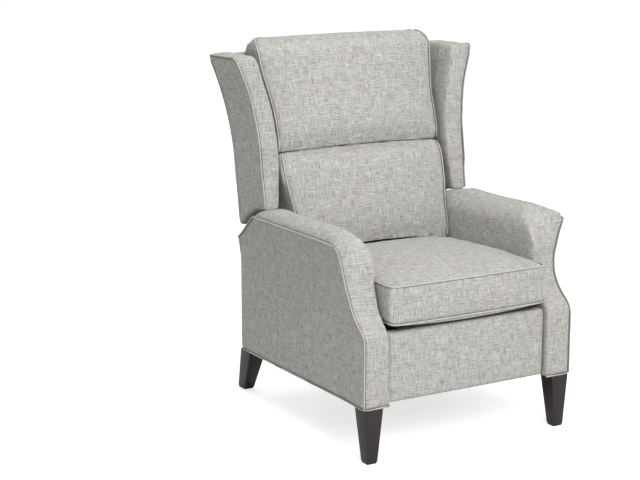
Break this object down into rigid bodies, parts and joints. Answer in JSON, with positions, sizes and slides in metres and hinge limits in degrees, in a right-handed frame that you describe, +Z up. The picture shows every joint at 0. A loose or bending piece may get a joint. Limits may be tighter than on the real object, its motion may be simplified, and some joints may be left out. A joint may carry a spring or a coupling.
{
  "type": "recliner",
  "caption": "High-leg wing recliner with split back cushions, rolled flared arms, tapered legs and a fold-out footrest under the seat",
  "frame": {"origin": "on the floor under the middle of the chair: halfway between the arms, and halfway between the arm fronts and the backs of the rear feet", "axes": "+Z up, the chair faces -Y, +X to the right of someone who stands in front of it"},
  "size_m": [0.862, 0.858, 1.1577],
  "materials": {
    "upholstery": "woven light warm grey tweed with a crosshatch of darker and paler threads, matt",
    "dark_wood": "near-black espresso stain, satin",
    "frame_wood": "plain planed hardwood",
    "plywood": "unfinished plywood",
    "black_steel": "black enamelled pressed steel",
    "spring_steel": "oiled spring wire",
    "zinc_steel": "zinc plated",
    "black_cloth": "black woven cloth"
  },
  "bodies": {
    "chassis": {"arm_pad_left": "upholstery", "arm_pad_right": "upholstery", "arm_panel_left": "plywood", "arm_panel_right": "plywood", "mechanism_rail_left": "frame_wood", "mechanism_rail_right": "frame_wood", "front_leg_left": "dark_wood", "front_leg_right": "dark_wood", "rear_leg_left": "dark_wood", "rear_leg_right": "dark_wood", "corner_blocks": "frame_wood", "leg_bolts": "zinc_steel", "rear_rail": "frame_wood", "rear_panel": "upholstery", "base_plate_left": "black_steel", "base_plate_right": "black_steel", "cross_tube": "black_steel"},
    "front_swing": {"front_swing_link_left": "black_steel", "front_swing_link_right": "black_steel"},
    "rear_swing": {"rear_swing_link_left": "black_steel", "rear_swing_link_right": "black_steel"},
    "seat": {"seat_plate_left": "black_steel", "seat_plate_right": "black_steel", "seat_side_rail_left": "frame_wood", "seat_side_rail_right": "frame_wood", "seat_front_rail": "frame_wood", "seat_rear_rail": "frame_wood", "seat_springs": "spring_steel", "seat_deck": "black_cloth", "seat_cushion": "upholstery"},
    "long_links": {"long_link_left": "black_steel", "long_link_right": "black_steel", "drive_tube": "black_steel"},
    "short_links": {"short_link_left": "black_steel", "short_link_right": "black_steel"},
    "cross_links": {"cross_link_left": "black_steel", "cross_link_right": "black_steel"},
    "panel_links": {"panel_link_left": "black_steel", "panel_link_right": "black_steel"},
    "footrest": {"footrest_bracket_left": "black_steel", "footrest_bracket_right": "black_steel", "footrest_board": "plywood", "footrest_pad": "upholstery"},
    "back": {"back_post_left": "frame_wood", "back_post_right": "frame_wood", "back_top_rail": "frame_wood", "back_bottom_rail": "frame_wood", "back_bracket_left": "black_steel", "back_bracket_right": "black_steel", "back_webbing": "black_cloth", "wing_pad_left": "upholstery", "wing_pad_right": "upholstery", "wing_board_left": "plywood", "wing_board_right": "plywood", "outside_back": "upholstery", "upper_back_cushion": "upholstery", "lower_back_cushion": "upholstery"},
    "control_links": {"control_link_left": "black_steel", "control_link_right": "black_steel"}
  },
  "joints": [
    {"name": "back_recline", "type": "hinge", "parent": "seat", "child": "back", "pos_m": [0, 0.171, 0.318], "axis": [-1, 0, 0], "range_deg": [0, 30]},
    {"name": "front_swing_turn", "type": "hinge", "parent": "chassis", "child": "front_swing", "pos_m": [0, -0.054, 0.222], "axis": [1, 0, 0], "range_deg": [0, 30]},
    {"name": "seat_carry", "type": "hinge", "parent": "front_swing", "child": "seat", "pos_m": [0, -0.009, 0.29994], "axis": [1, 0, 0], "range_deg": [-30, 0]},
    {"name": "rear_swing_turn", "type": "hinge", "parent": "chassis", "child": "rear_swing", "pos_m": [0, 0.116, 0.222], "axis": [1, 0, 0], "range_deg": [0, 30]},
    {"name": "control_turn", "type": "hinge", "parent": "chassis", "child": "control_links", "pos_m": [0, 0.2353, 0.214], "axis": [1, 0, 0], "range_deg": [0, 21.34]},
    {"name": "footrest_open", "type": "hinge", "parent": "seat", "child": "long_links", "pos_m": [0, -0.2779, 0.32], "axis": [-1, 0, 0], "range_deg": [0, 118.77]},
    {"name": "short_link_turn", "type": "hinge", "parent": "seat", "child": "short_links", "pos_m": [0, -0.331, 0.32], "axis": [-1, 0, 0], "range_deg": [0, 118.77]},
    {"name": "cross_link_turn", "type": "hinge", "parent": "long_links", "child": "cross_links", "pos_m": [0, -0.1343, 0.2127], "axis": [-1, 0, 0], "range_deg": [-118.77, 0]},
    {"name": "footrest_turn", "type": "hinge", "parent": "cross_links", "child": "footrest", "pos_m": [0, -0.343, 0.318], "axis": [-1, 0, 0], "range_deg": [0, 86]},
    {"name": "panel_link_turn", "type": "hinge", "parent": "long_links", "child": "panel_links", "pos_m": [0, -0.1032, 0.2], "axis": [-1, 0, 0], "range_deg": [-122.14, 0]}
  ],
  "couplings": [
    {"joint": "front_swing_turn", "follows": "back_recline", "ratio": 1},
    {"joint": "seat_carry", "follows": "back_recline", "ratio": -1},
    {"joint": "rear_swing_turn", "follows": "back_recline", "ratio": 1},
    {"joint": "control_turn", "follows": "back_recline", "ratio": 0.71133},
    {"joint": "short_link_turn", "follows": "footrest_open", "ratio": 1},
    {"joint": "cross_link_turn", "follows": "footrest_open", "ratio": -1},
    {"joint": "footrest_turn", "follows": "footrest_open", "ratio": 0.72409},
    {"joint": "panel_link_turn", "follows": "footrest_open", "ratio": -1.0284}
  ]
}
